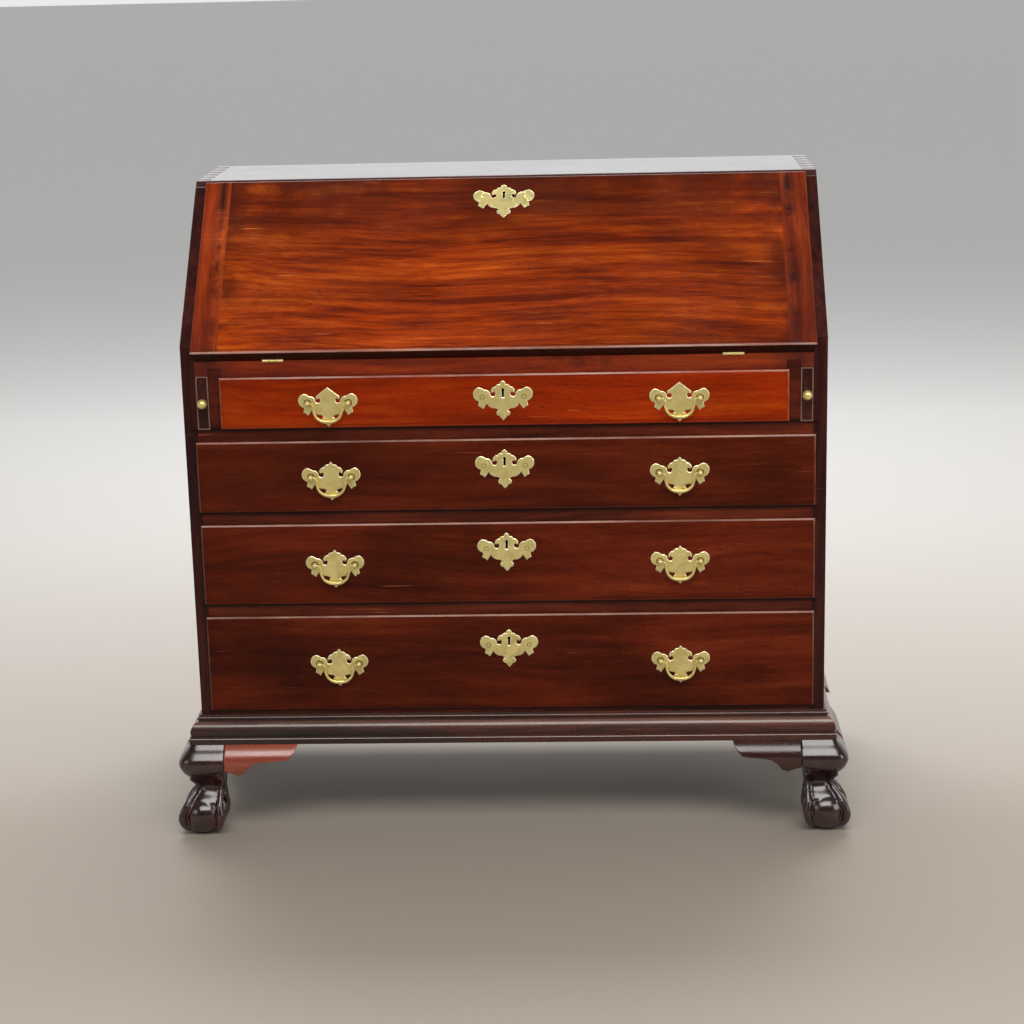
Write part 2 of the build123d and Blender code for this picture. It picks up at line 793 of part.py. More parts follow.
def long_drawer(index):
    """One lipped drawer with its box, brasses, lock and bails."""
    name = f"drawer_{index + 1}"
    half = opening_half[index]
    low = drawer_low[index]
    top = drawer_top[index]
    body_half = half - drawer_gap
    body_top = top - lip_overlap - drawer_gap
    lip_half = half + lip_overlap
    pull_height = (low + top) / 2
    plate_peak = top - escutcheon_drops[index] + plate_height / 2
    key_height = plate_peak - keyhole_drop
    lock_span = (-lock_half_width, lock_half_width)
    lock_height = (key_height - lock_below_key, body_top)
    lock_depth = (tenon_back - lock_thickness, tenon_back)
    side_low = low - slide_gap + fit_gap
    panel_low = side_low + bottom_rise
    panel = (panel_low, panel_low + drawer_bottom)

    with BuildPart() as front_board:
        block((-lip_half, lip_half), (step_y, front - lip_gap), (low, top))
        fillet(front_board.faces().sort_by(Axis.Y)[0].edges(), edge_radius)
        field = lip_half - moulded_edge
        block((-field, field), (face_y, step_y), (low + moulded_edge, top - moulded_edge))
        block((-body_half, body_half), (front - lip_gap, tenon_back), (low, body_top))
        block(lock_span, lock_depth, lock_height, Mode.SUBTRACT)
        groove_half = body_half - drawer_side + bottom_groove
        block((-groove_half, groove_half), (tenon_back - bottom_groove, tenon_back), panel, Mode.SUBTRACT)
        key_depth = (face_y, tenon_back - lock_thickness)
        with Locations(Location((0, sum(key_depth) / 2, key_height), (90, 0, 0))):
            Cylinder(keyhole_radius, key_depth[1] - key_depth[0], mode=Mode.SUBTRACT)
        slot = (key_height - keyhole_length, key_height)
        block((-keyhole_slot / 2, keyhole_slot / 2), key_depth, slot, Mode.SUBTRACT)
        for pull in (-pull_spread, pull_spread):
            for place in (pull - post_spread, pull + post_spread):
                middle = (face_y + tenon_back) / 2
                with Locations(Location((place, middle, pull_height), (90, 0, 0))):
                    Cylinder(post_radius + post_fit, tenon_back - face_y, mode=Mode.SUBTRACT)
    save(f"{name}_front", front_board.part)

    with BuildPart() as box_side:
        block((body_half - drawer_side, body_half), (tenon_back, box_back), (side_low, body_top - drawer_gap))
        groove = (body_half - drawer_side, body_half - drawer_side + bottom_groove)
        block(groove, (tenon_back, box_back), panel, Mode.SUBTRACT)
    inside = body_half - drawer_side
    box = [box_side.part, mirror(box_side.part, about=Plane.YZ)]
    back_span = (box_back - drawer_side, box_back)
    box.append(board((-inside, inside), back_span, (panel[1], body_top - drawer_gap - back_drop)))
    box.append(board((-groove_half, groove_half), (tenon_back - bottom_groove, box_back), panel))
    save(f"{name}_box", *box)

    brasses = []
    for pull in (-pull_spread, pull_spread):
        pull_top = Plane(origin=(pull, face_y, pull_height + post_drop), x_dir=(1, 0, 0), z_dir=(0, -1, 0))
        brasses.append(plate(pull_top, 1, plain_peak if index == 0 else scalloped_peak, False))
        brasses.append(post(pull - post_spread, pull_height))
        brasses.append(post(pull + post_spread, pull_height))
    key_top = Plane(origin=(0, face_y, plate_peak), x_dir=(1, 0, 0), z_dir=(0, -1, 0))
    brasses.append(plate(key_top, 1, finial_peak, True))
    brasses.extend(nails(key_top, 1))
    brasses.append(board(lock_span, lock_depth, lock_height))
    save(f"{name}_brasses", *brasses)

    save(f"{name}_bail_left", bail(-pull_spread, pull_height))
    save(f"{name}_bail_right", bail(pull_spread, pull_height))


for index in range(4):
    long_drawer(index)

# ---------------------------------------------------------------- gallery behind the fall
shelf_low = writing_height + gallery_drawer_height
shelf_top = shelf_low + gallery_board
gallery_span = (gallery_front, back_inner)
inner_half = side_inner
save("gallery_shelf", board((-inner_half, inner_half), gallery_span, (shelf_low, shelf_top)))

cell = (2 * inner_half + gallery_board) / gallery_drawers
drawer_cells = []
partitions = []
for index in range(gallery_drawers):
    start = -inner_half + index * cell
    drawer_cells.append((start, start + cell - gallery_board))
    if index > 0:
        partitions.append(board((start - gallery_board, start), gallery_span, (writing_height, shelf_low)))
hole = (2 * inner_half + gallery_board) / pigeonholes
valances = []
for index in range(pigeonholes):
    start = -inner_half + index * hole
    if index > 0:
        partitions.append(board((start - gallery_board, start), gallery_span, (shelf_top, top_low)))
    middle = start + (hole - gallery_board) / 2
    with BuildPart() as valance:
        with BuildSketch(Plane.XZ.offset(-gallery_front - gallery_board)):
            with Locations((middle, top_low - valance_height / 2)):
                Rectangle(hole - gallery_board, valance_height)
            with Locations((middle, top_low - valance_height)):
                Ellipse((hole - gallery_board) / 2 - gallery_board, valance_rise, mode=Mode.SUBTRACT)
        extrude(amount=gallery_board)
    valances.append(valance.part)
save("gallery_partitions", *partitions)
save("gallery_valances", *valances)

for index, (start, end) in enumerate(drawer_cells):
    outer = (start + slide_gap, end - slide_gap)
    low = writing_height + fit_gap
    high = shelf_low - slide_gap
    wall = gallery_drawer_wall
    inside = (outer[0] + wall, outer[1] - wall)
    front_back = gallery_front + gallery_board
    drawer_back = back_inner - drawer_back_room
    pieces = [board(outer, (gallery_front, front_back), (low, high))]
    pieces.append(board((outer[0], inside[0]), (front_back, drawer_back), (low, high)))
    pieces.append(board((inside[1], outer[1]), (front_back, drawer_back), (low, high)))
    pieces.append(board(inside, (drawer_back - wall, drawer_back), (low, high)))
    pieces.append(board(inside, (front_back, drawer_back - wall), (low, low + wall)))
    with BuildPart() as knob:
        middle = (start + end) / 2
        knob_middle = (low + high) / 2
        neck = gallery_knob_reach - gallery_knob_radius
        with Locations(Location((middle, gallery_front - neck / 2, knob_middle), (90, 0, 0))):
            Cylinder(gallery_knob_radius / 2, neck)
        with Locations((middle, gallery_front - neck - gallery_knob_radius / 2, knob_middle)):
            Sphere(gallery_knob_radius)
    pieces.append(knob.part)
    save(f"gallery_drawer_{index + 1}", *pieces)
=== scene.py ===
import math

import bmesh
import bpy
from mathutils import Matrix, Vector


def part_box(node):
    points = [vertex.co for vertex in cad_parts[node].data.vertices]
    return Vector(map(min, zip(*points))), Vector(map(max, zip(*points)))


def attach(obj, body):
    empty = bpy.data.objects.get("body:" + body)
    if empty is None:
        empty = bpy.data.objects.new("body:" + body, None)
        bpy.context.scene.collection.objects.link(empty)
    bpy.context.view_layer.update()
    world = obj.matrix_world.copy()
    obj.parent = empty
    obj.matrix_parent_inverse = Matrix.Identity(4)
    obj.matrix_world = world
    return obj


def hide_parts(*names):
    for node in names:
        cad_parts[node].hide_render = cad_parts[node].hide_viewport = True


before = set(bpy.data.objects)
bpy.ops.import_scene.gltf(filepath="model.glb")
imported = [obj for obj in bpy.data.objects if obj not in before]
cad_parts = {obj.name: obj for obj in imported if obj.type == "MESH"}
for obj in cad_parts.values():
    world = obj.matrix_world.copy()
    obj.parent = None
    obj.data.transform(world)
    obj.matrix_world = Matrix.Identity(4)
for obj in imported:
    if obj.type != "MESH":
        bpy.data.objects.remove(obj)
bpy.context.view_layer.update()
mm = 0.001

# ---------------------------------------------------------------- case
# The two sides, the top, the rails between the drawers and the boards inside, all dark
# old mahogany under french polish. The sides and the top are dovetailed together.


def add(tree, kind, inputs=None, **settings):
    """A shader node with its settings, and a value or a link for each input named."""
    node = tree.nodes.new("ShaderNode" + kind)
    for key, value in settings.items():
        setattr(node, key, value)
    for key, value in (inputs or {}).items():
        if isinstance(value, bpy.types.NodeSocket):
            tree.links.new(value, node.inputs[key])
        else:
            node.inputs[key].default_value = value
    return node


def fit(tree, value, low, high, new_low, new_high):
    """A value's range moved onto another one, held at its ends."""
    inputs = {"Value": value, "From Min": low, "From Max": high, "To Min": new_low, "To Max": new_high}
    return add(tree, "MapRange", inputs).outputs["Result"]


def streaks(tree, place, along, across, detail=3, rough=0.5, bend=0):
    """Noise drawn out along x: the number of marks to the metre along and across it."""
    drawn = add(tree, "Mapping", {"Vector": place, "Scale": (along, across, across)})
    inputs = {"Vector": drawn.outputs["Vector"], "Scale": 1, "Detail": detail, "Roughness": rough}
    return add(tree, "TexNoise", {**inputs, "Distortion": bend}).outputs["Fac"]


def tint(tree, amount, below, above, blend="MIX"):
    """One colour laid over another."""
    node = add(tree, "Mix", data_type="RGBA", blend_type=blend, clamp_factor=True)
    for socket, value in ((0, amount), (6, below), (7, above)):
        if isinstance(value, bpy.types.NodeSocket):
            tree.links.new(value, node.inputs[socket])
        else:
            node.inputs[socket].default_value = value
    return node.outputs[2]


def work_out(tree, operation, first, second=0.0):
    """One sum on two values, such as MULTIPLY, SUBTRACT or MAXIMUM."""
    return add(tree, "Math", {0: first, 1: second}, operation=operation).outputs[0]


def placed(tree, axis):
    """Where a point lies along an axis, in metres."""
    here = add(tree, "TexCoord").outputs["Object"]
    return add(tree, "SeparateXYZ", {"Vector": here}).outputs[axis]


def facing(tree, axis):
    """How far a face turns towards an axis, from -1 to 1."""
    normal = add(tree, "TexCoord").outputs["Normal"]
    return add(tree, "SeparateXYZ", {"Vector": normal}).outputs[axis]


# Turns that lay the grain along a piece, whichever way the piece runs.
along_x = (0, 0, 0)
along_z = (0, math.radians(90), 0)
along_y = (0, 0, math.radians(-90))
along_slope = (math.radians(-45), 0, math.radians(-90))


def polished_wood(name, tones, grain=along_x, piece=0, gloss=0.24, worn=0.4, mirror=0.3, mottle=0.3,
                  figured=1.0):
    """Polished mahogany cut from its own plank, with its grain running along the piece."""
    material = bpy.data.materials.new(name)
    material.use_nodes = True
    tree = material.node_tree
    shader = tree.nodes["Principled BSDF"]
    here = add(tree, "TexCoord").outputs["Object"]
    plank = (3.1 * piece, 1.7 * piece, 2.3 * piece)
    turned = add(tree, "Mapping", {"Vector": here, "Rotation": grain, "Location": plank}).outputs["Vector"]
    wander = add(tree, "TexNoise", {"Vector": turned, "Scale": 2.5, "Detail": 1}).outputs["Color"]
    bent = add(tree, "VectorMath", {0: wander, 1: (0.05, 0.05, 0.05)}, operation="MULTIPLY")
    place = add(tree, "VectorMath", {0: turned, 1: bent.outputs[0]}).outputs[0]

    figure = streaks(tree, place, 1.5, 13, 5, 0.6, 0.7)
    ribbon = streaks(tree, place, 4, 75, 4, 0.6, 0.3)
    fibre = streaks(tree, place, 26, 620, 2)
    pores = streaks(tree, place, 80, 1500, 1)
    cloud = streaks(tree, place, 2.2, 5.5, 3, 0.55, 0.5)
    mixed = work_out(tree, "ADD", figure, ribbon)
    mixed = add(tree, "Math", {0: fibre, 1: 0.35, 2: mixed}, operation="MULTIPLY_ADD").outputs[0]
    usual, spread = 1.18, 0.32 / figured
    ramp = add(tree, "ValToRGB", {"Fac": fit(tree, mixed, usual - spread, usual + spread, 0, 1)})
    ramp.color_ramp.elements[0].color = (*tones[0], 1)
    ramp.color_ramp.elements[1].color = (*tones[2], 1)
    middle = ramp.color_ramp.elements.new(0.5)
    middle.color = (*tones[1], 1)
    shade = fit(tree, cloud, 0.32, 0.68, 1 - mottle, 1 + mottle)
    clouded = add(tree, "CombineColor", {"Red": shade, "Green": shade, "Blue": shade}).outputs[0]
    colour = tint(tree, 1.0, ramp.outputs["Color"], clouded, "MULTIPLY")
    # Painted shade: faces that turn downwards are darkened towards the darkest tone.
    underside_shade = fit(tree, facing(tree, "Z"), -0.95, -0.6, 0.7, 0)
    colour = tint(tree, underside_shade, colour, (*[part * 0.3 for part in tones[0]], 1))
    pore_mark = fit(tree, pores, 0.6, 0.68, 0, 0.55)
    colour = tint(tree, pore_mark, colour, (*[part * 0.25 for part in tones[0]], 1))

    # Rubbed spots and hairline scratches let a paler wood through; small dents hold old wax.
    patches = add(tree, "TexNoise", {"Vector": here, "Scale": 9, "Detail": 3}).outputs["Fac"]
    hair = streaks(tree, here, 7, 300, 1, 0.5, 0.6)
    rubbed = fit(tree, patches, 0.5, 0.66, 0, worn)
    scratch = work_out(tree, "MULTIPLY", fit(tree, hair, 0.72, 0.76, 0, 1), rubbed)
    paler = zip(tones[2], (2.2, 3, 4), (0.1, 0.06, 0.03))
    pale = [min(1, part * more + lift) for part, more, lift in paler]
    colour = tint(tree, scratch, colour, (*pale, 1))
    nicks = add(tree, "TexNoise", {"Vector": place, "Scale": 70, "Detail": 2, "Distortion": 1.5})
    nick = work_out(tree, "MULTIPLY", fit(tree, nicks.outputs["Fac"], 0.71, 0.76, 0, 1), rubbed)
    old_wax = (0.01, 0.004, 0.003, 1)
    colour = tint(tree, nick, colour, old_wax)
    tree.links.new(colour, shader.inputs["Base Color"])

    dull = fit(tree, patches, 0.35, 0.7, gloss - 0.03, gloss + 0.07)
    dull = add(tree, "Math", {0: pore_mark, 1: 0.3, 2: dull}, operation="MULTIPLY_ADD").outputs[0]
    tree.links.new(dull, shader.inputs["Roughness"])
    shader.inputs["Specular IOR Level"].default_value = mirror
    relief = add(tree, "Math", {0: pore_mark, 1: -0.8, 2: fibre}, operation="MULTIPLY_ADD").outputs[0]
    relief = add(tree, "Math", {0: nick, 1: -2, 2: relief}, operation="MULTIPLY_ADD").outputs[0]
    fine = add(tree, "Bump", {"Height": relief, "Strength": 0.25, "Distance": 0.12 * mm})
    planing = add(tree, "TexNoise", {"Vector": place, "Scale": 14, "Detail": 1}).outputs["Fac"]
    planed = {"Height": planing, "Strength": 0.3, "Distance": 1.5 * mm, "Normal": fine.outputs["Normal"]}
    tree.links.new(add(tree, "Bump", planed).outputs["Normal"], shader.inputs["Normal"])
    return material


def dress(names, material, edge=0.8 * mm, rubbed=None):
    """CAD nodes that show as they are: their finish, with sharp edges worn round; where a rubbed finish is
    given, the rounds take it, a paler wood that is partly rubbed wear and partly a painted highlight.
    """
    for name in names:
        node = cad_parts[name]
        node.data.materials[0] = material
        node.data.polygons.foreach_set("use_smooth", [True] * len(node.data.polygons))
        joined = node.modifiers.new("joined", "WELD")
        joined.merge_threshold = 0.01 * mm
        if edge:
            worn = node.modifiers.new("worn edges", "BEVEL")
            worn.width = edge
            worn.segments = 2
            worn.limit_method = "ANGLE"
            worn.angle_limit = math.radians(35)
            if rubbed:
                node.data.materials.append(rubbed)
                worn.material = 1
        shaded = node.modifiers.new("flat faces stay flat", "WEIGHTED_NORMAL")
        shaded.mode = "FACE_AREA_WITH_ANGLE"
        shaded.weight = 90


def stain_and_painted_light(material, mask, colour):
    """A colour laid over a finished wood wherever the mask is: stains and wear in some places, painted
    shade and painted highlights in others.
    """
    tree = material.node_tree
    base = tree.nodes["Principled BSDF"].inputs["Base Color"]
    tree.links.new(tint(tree, mask, base.links[0].from_socket, (*colour, 1)), base)


def stain_and_shadow_along(material, axis, places, reach, colour, cut=(0.42, 0.56)):
    """A ragged darkening along lines at these places on an axis, fading over the reach: stains in most
    places, and a painted shadow under the drawers.
    """
    tree = material.node_tree
    here = add(tree, "TexCoord").outputs["Object"]
    blotch = add(tree, "TexNoise", {"Vector": here, "Scale": 8, "Detail": 5, "Roughness": 0.68})
    ragged = fit(tree, blotch.outputs["Fac"], *cut, 0, 1)
    mask = 0.0
    for place in places:
        gap = work_out(tree, "ABSOLUTE", work_out(tree, "SUBTRACT", placed(tree, axis), place))
        near = work_out(tree, "MULTIPLY", fit(tree, gap, 0, reach, 1, 0), ragged)
        mask = work_out(tree, "MAXIMUM", near, mask)
    stain_and_painted_light(material, mask, colour)


def dark_ends(material, edge):
    """The ends of a rail, let into the case sides, take the sides' dark polish."""
    tree = material.node_tree
    out = work_out(tree, "ABSOLUTE", placed(tree, "X"))
    stain_and_painted_light(material, fit(tree, out, edge - 0.5 * mm, edge + 0.5 * mm, 0, 1), (0.03, 0.006, 0.005))


side_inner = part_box("side_right")[0].x
dark = ((0.014, 0.003, 0.003), (0.045, 0.008, 0.006), (0.1, 0.018, 0.01))
rail_tones = ((0.035, 0.005, 0.002), (0.1, 0.014, 0.005), (0.18, 0.03, 0.01))
# A paler wood for bevelled edges: partly rubbed wear, partly a painted highlight along each edge.
worn_edge_highlight_tones = ((0.12, 0.045, 0.032), (0.25, 0.11, 0.085), (0.42, 0.22, 0.18))
worn_edge_highlight = polished_wood("worn edge and painted highlight", worn_edge_highlight_tones, along_x, 31, gloss=0.2)
for side, piece in (("left", 1), ("right", 2)):
    side_wood = polished_wood(f"side {side} mahogany", dark, along_z, piece, mirror=0.22)
    dress([f"side_{side}"], side_wood, 0.6 * mm)
top_wood = polished_wood("top mahogany", dark, along_x, 3, gloss=0.2, worn=0.5, mirror=1.0)
top_polish = top_wood.node_tree.nodes["Principled BSDF"]
top_polish.inputs["Coat Weight"].default_value = 1.0
top_polish.inputs["Coat Roughness"].default_value = 0.12
dress(["top_board"], top_wood, 1.0 * mm, worn_edge_highlight)
rail_wood = polished_wood("rail mahogany", rail_tones, along_x, 4, gloss=0.26, worn=0.5, mirror=0.2)
dark_ends(rail_wood, side_inner)
drawer_lows = [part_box(f"drawer_{number}_front")[0].z for number in (1, 2, 3, 4)]
# Painted shadow: a dark band on the rails just under each drawer's lip.
stain_and_shadow_along(rail_wood, "Z", drawer_lows, 9 * mm, (0.006, 0.002, 0.001), (0.0, 0.3))
dress(["drawer_rails", "loper_dividers", "bottom_board"], rail_wood, 0.3 * mm)

# ---------------------------------------------------------------- inside the case
# Pine that was never polished: the runners that carry the drawers, with their grain from front
# to back, and the back boards, with theirs across.
pine = ((0.36, 0.2, 0.09), (0.5, 0.31, 0.15), (0.6, 0.4, 0.21))
plain = {"gloss": 0.55, "worn": 0.1, "mirror": 0.25, "mottle": 0.12}
pine_across = polished_wood("pine across", pine, along_x, 5, **plain)
pine_back = polished_wood("pine front to back", pine, along_y, 6, **plain)
dress(["back_boards"], pine_across, 1.2 * mm)
dress(["drawer_runners"], pine_back, 0)

# ---------------------------------------------------------------- fall
# One wide panel of faded mahogany between two breadboard ends, a moulded lip all round. Old
# polish has gathered at the joints with the ends and under the top.


def under_lip_polish_and_shade(material):
    """The lower edge of the fall and every face that turns downwards, dark: partly old polish, partly
    painted shade.
    """
    tree = material.node_tree
    stain_and_painted_light(material, fit(tree, facing(tree, "Z"), -0.6, -0.3, 0.93, 0), (0.016, 0.004, 0.003))


def worn_and_highlit_lip(material, start, full, colour, drawer=False):
    """Pale wood where a lip rounds over, partly worn and partly a painted highlight: its faces lean
    forwards from start to full.
    """
    tree = material.node_tree
    lean = work_out(tree, "MULTIPLY", facing(tree, "Y"), -1)
    here = add(tree, "TexCoord").outputs["Object"]
    uneven = fit(tree, streaks(tree, here, 5, 22, 5, 0.7), 0.36, 0.6, 0.3, 1)
    mask = work_out(tree, "MULTIPLY", fit(tree, lean, start, full, 0, 1), uneven)
    if drawer:
        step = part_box("drawer_1_front")[0].y + 1 * mm
        lip = fit(tree, placed(tree, "Y"), step, step + 0.2 * mm, 0, 1)
        rounded = fit(tree, lean, 0.93, 0.985, 1, 0)
        # On a drawer the painted highlight is strongest on the upper edge and faint on the lower, as if
        # lit from above.
        lit_from_above = fit(tree, facing(tree, "Z"), -0.1, 0.4, 0.08, 1)
        for part in (lip, rounded, lit_from_above):
            mask = work_out(tree, "MULTIPLY", mask, part)
    stain_and_painted_light(material, mask, colour)


faded = ((0.11, 0.01, 0.001), (0.29, 0.033, 0.002), (0.48, 0.082, 0.006))
end_tones = ((0.13, 0.011, 0.002), (0.27, 0.032, 0.004), (0.44, 0.07, 0.01))
old_polish = (0.03, 0.005, 0.003)
worn_lip_highlight = (0.62, 0.4, 0.34)
tongue = 12 * mm
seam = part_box("lid_end_right")[0].x + tongue
fall_low, fall_high = [corner.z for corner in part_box("lid_panel")]
panel_wood = polished_wood("fall mahogany", faded, along_x, 7, gloss=0.25, worn=1.0, mirror=0.17,
                           mottle=0.45, figured=1.4)
stain_and_shadow_along(panel_wood, "X", (-seam, seam), 45 * mm, old_polish)
stain_and_shadow_along(panel_wood, "Z", (fall_high,), 110 * mm, (0.075, 0.009, 0.002), (0.3, 0.62))
stain_and_shadow_along(panel_wood, "X", (-seam, seam), 280 * mm, (0.1, 0.012, 0.002), (0.46, 0.68))
under_lip_polish_and_shade(panel_wood)
worn_and_highlit_lip(panel_wood, 0.86, 0.97, worn_lip_highlight)
dress(["lid_panel"], panel_wood, 0.5 * mm)
for side, piece in (("left", 8), ("right", 9)):
    end_wood = polished_wood(f"{side} end mahogany", end_tones, along_slope, piece, gloss=0.25, worn=0.6,
                             mirror=0.25, mottle=0.4)
    stain_and_shadow_along(end_wood, "X", (-seam, seam), 16 * mm, old_polish)
    stain_and_shadow_along(end_wood, "Z", (fall_low,), 70 * mm, (0.1, 0.012, 0.006))
    under_lip_polish_and_shade(end_wood)
    worn_and_highlit_lip(end_wood, 0.86, 0.97, worn_lip_highlight)
    dress([f"lid_end_{side}"], end_wood, 0.5 * mm)

# ---------------------------------------------------------------- hinge rail and writing board
# The fixed strip under the fall, let into the sides and mottled round the hinges, and the
# fixed part of the writing board behind it.
strip_tones = ((0.1, 0.009, 0.002), (0.26, 0.026, 0.003), (0.42, 0.06, 0.008))
strip_wood = polished_wood("hinge rail mahogany", strip_tones, along_x, 10, gloss=0.3, worn=0.9)
strip_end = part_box("loper_right")[0].x
mottled = (-0.3, 0.1, 0.34)
stain_and_shadow_along(strip_wood, "X", (-strip_end, strip_end), 70 * mm, (0.09, 0.012, 0.007), (0.2, 0.45))
stain_and_shadow_along(strip_wood, "X", mottled, 150 * mm, (0.05, 0.007, 0.004), (0.56, 0.68))
dark_ends(strip_wood, side_inner)
dress(["hinge_rail"], strip_wood, 0.3 * mm)
board_wood = polished_wood("writing board mahogany", rail_tones, along_x, 11, gloss=0.3, worn=0.5)
dress(["writing_board"], board_wood, 0.4 * mm)

# ---------------------------------------------------------------- lopers
# Two slides that come out to carry the fall, each with a scratched border, paler partly from wear and
# partly from a painted highlight, and a brass knob.
loper_wood = polished_wood("loper mahogany", dark, along_y, 12, gloss=0.26, worn=0.9)
tree = loper_wood.node_tree
low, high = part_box("loper_right")
# A pale line round the front of the sunk border: partly scratched wear, partly a painted highlight.
border_wear_and_highlight = 0.0
across = work_out(tree, "ABSOLUTE", placed(tree, "X"))
for value, start, stop in ((across, low.x, high.x), (placed(tree, "Z"), low.z, high.z)):
    gap = work_out(tree, "ABSOLUTE", work_out(tree, "SUBTRACT", value, (start + stop) / 2))
    half = (stop - start) / 2
    line = fit(tree, gap, half - 2.1 * mm, half - 1.5 * mm, 0, 0.55)
    border_wear_and_highlight = work_out(tree, "MAXIMUM", line, border_wear_and_highlight)
on_front = fit(tree, facing(tree, "Y"), -0.9, -0.6, 1, 0)
stain_and_painted_light(loper_wood, work_out(tree, "MULTIPLY", border_wear_and_highlight, on_front), (0.42, 0.26, 0.2))
dress(["loper_left", "loper_right"], loper_wood, 0.5 * mm)

# ---------------------------------------------------------------- drawers
# Four graduated mahogany fronts with a thumbnail lip all round, on pine boxes. The top one
# has faded red, and painted shade leaves the fronts darkest at their left ends.
red = ((0.038, 0.0045, 0.0012), (0.108, 0.0125, 0.003), (0.19, 0.029, 0.007))
top_red = ((0.15, 0.01, 0.0004), (0.34, 0.026, 0.0008), (0.5, 0.062, 0.003))
darker_lip_highlight = (0.56, 0.34, 0.28)
for number, tones, lip_highlight_colour, left_shade in ((1, top_red, worn_lip_highlight, 0.25), (2, red, darker_lip_highlight, 0.5),
                                            (3, red, darker_lip_highlight, 0.15), (4, red, darker_lip_highlight, 0.15)):
    front = polished_wood(f"drawer {number} mahogany", tones, along_x, 12 + number, gloss=0.27, worn=0.9,
                          mirror=0.12, mottle=0.5, figured=0.8)
    # Painted shade: each front darkened towards its left end.
    shade_to_left = fit(front.node_tree, placed(front.node_tree, "X"), -0.35, 0.4, left_shade, 0)
    stain_and_painted_light(front, shade_to_left, (0.03, 0.004, 0.002))
    worn_and_highlit_lip(front, 0.2, 0.45, lip_highlight_colour, drawer=True)
    dress([f"drawer_{number}_front"], front, 0.25 * mm)
    dress([f"drawer_{number}_box"], pine_back, 0)

# ---------------------------------------------------------------- desk inside
# Pigeonholes with cut valances, over four small drawers, all in plain red mahogany with the
# grain along each piece.
inner_red = ((0.04, 0.009, 0.004), (0.11, 0.024, 0.009), (0.2, 0.05, 0.018))
gallery_wood = polished_wood("gallery mahogany", inner_red, along_x, 17, gloss=0.34, worn=0.3)
upright_wood = polished_wood("partition mahogany", inner_red, along_z, 18, gloss=0.34, worn=0.3)
dress(["gallery_shelf", "gallery_valances"], gallery_wood, 0.4 * mm)
dress(["gallery_partitions"], upright_wood, 0.4 * mm)
dress([f"gallery_drawer_{number}" for number in (1, 2, 3, 4)], gallery_wood, 0.4 * mm)

# ---------------------------------------------------------------- base moulding and brackets
# Moulding run along the grain and mitred round the case, pale where it turns upwards, partly rubbed
# wear and partly a painted highlight, and the swelled brackets beside the feet. The left front bracket is
# a paler piece.
base_tones = ((0.012, 0.003, 0.002), (0.04, 0.007, 0.004), (0.11, 0.02, 0.009))
base_front_wood = polished_wood("moulding mahogany", base_tones, along_x, 19, gloss=0.17, worn=0.8,
                                mirror=0.8, mottle=0.5)
base_side_wood = polished_wood("side moulding mahogany", base_tones, along_y, 20, gloss=0.17, worn=0.8,
                               mirror=0.7, mottle=0.5)
for wood in (base_front_wood, base_side_wood):
    tree = wood.node_tree
    rising = facing(tree, "Z")
    # Faces that turn upwards are painted pale: partly rubbed wear, partly a painted highlight.
    upward = fit(tree, rising, 0.15, 0.6, 0, 0.7)
    rounded = fit(tree, rising, 0.97, 0.85, 0.2, 1)
    here = add(tree, "TexCoord").outputs["Object"]
    rubs = fit(tree, streaks(tree, here, 3, 60, 4, 0.6), 0.3, 0.62, 0.35, 1)
    rubbed_and_highlit = work_out(tree, "MULTIPLY", work_out(tree, "MULTIPLY", upward, rounded), rubs)
    stain_and_painted_light(wood, rubbed_and_highlit, (0.3, 0.16, 0.12))
dress(["base_moulding_front"], base_front_wood, 0.8 * mm, worn_edge_highlight)
dress(["base_moulding_left", "base_moulding_right"], base_side_wood, 0.8 * mm, worn_edge_highlight)


def carved_as_one(wood, fineness, rubs):
    """One skin over everything that a carving is made of, rubbed soft."""
    skin = wood.modifiers.new("one skin", "REMESH")
    skin.mode = "VOXEL"
    skin.voxel_size = fineness
    skin.use_smooth_shade = True
    soft = wood.modifiers.new("rubbed soft", "SMOOTH")
    soft.factor = 0.5
    soft.iterations = rubs


def rasped(names, material):
    """Brackets: their finish, and all their edges rasped soft."""
    for name in names:
        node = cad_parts[name]
        node.data.materials[0] = material
        joined = node.modifiers.new("joined", "WELD")
        joined.merge_threshold = 0.01 * mm
        carved_as_one(node, 1.0 * mm, 4)


bracket_wood = polished_wood("bracket mahogany", base_tones, along_x, 23, gloss=0.18, worn=0.6, mirror=0.9)
rasped(["bracket_front_right"], bracket_wood)
side_bracket_wood = polished_wood("side bracket mahogany", base_tones, along_y, 24, gloss=0.18, worn=0.6,
                                  mirror=0.9)
rasped(["side_brackets_left", "side_brackets_right"], side_bracket_wood)
pale_red = ((0.26, 0.035, 0.012), (0.42, 0.07, 0.025), (0.55, 0.12, 0.05))
pale_wood = polished_wood("pale bracket", pale_red, along_x, 21, gloss=0.2, worn=0.6, mirror=1.3)
rasped(["bracket_front_left"], pale_wood)

# ---------------------------------------------------------------- feet
# Ball-and-claw feet carved in the solid: a swelled knee, a thin ankle, and four talons that
# run down over a ball with a hollow web between them. Measures here are in millimetres.
foot_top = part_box("foot_front_left")[1].z / mm
case_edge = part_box("side_right")[1].x / mm
case_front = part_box("side_right")[0].y / mm
case_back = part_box("side_right")[1].y / mm
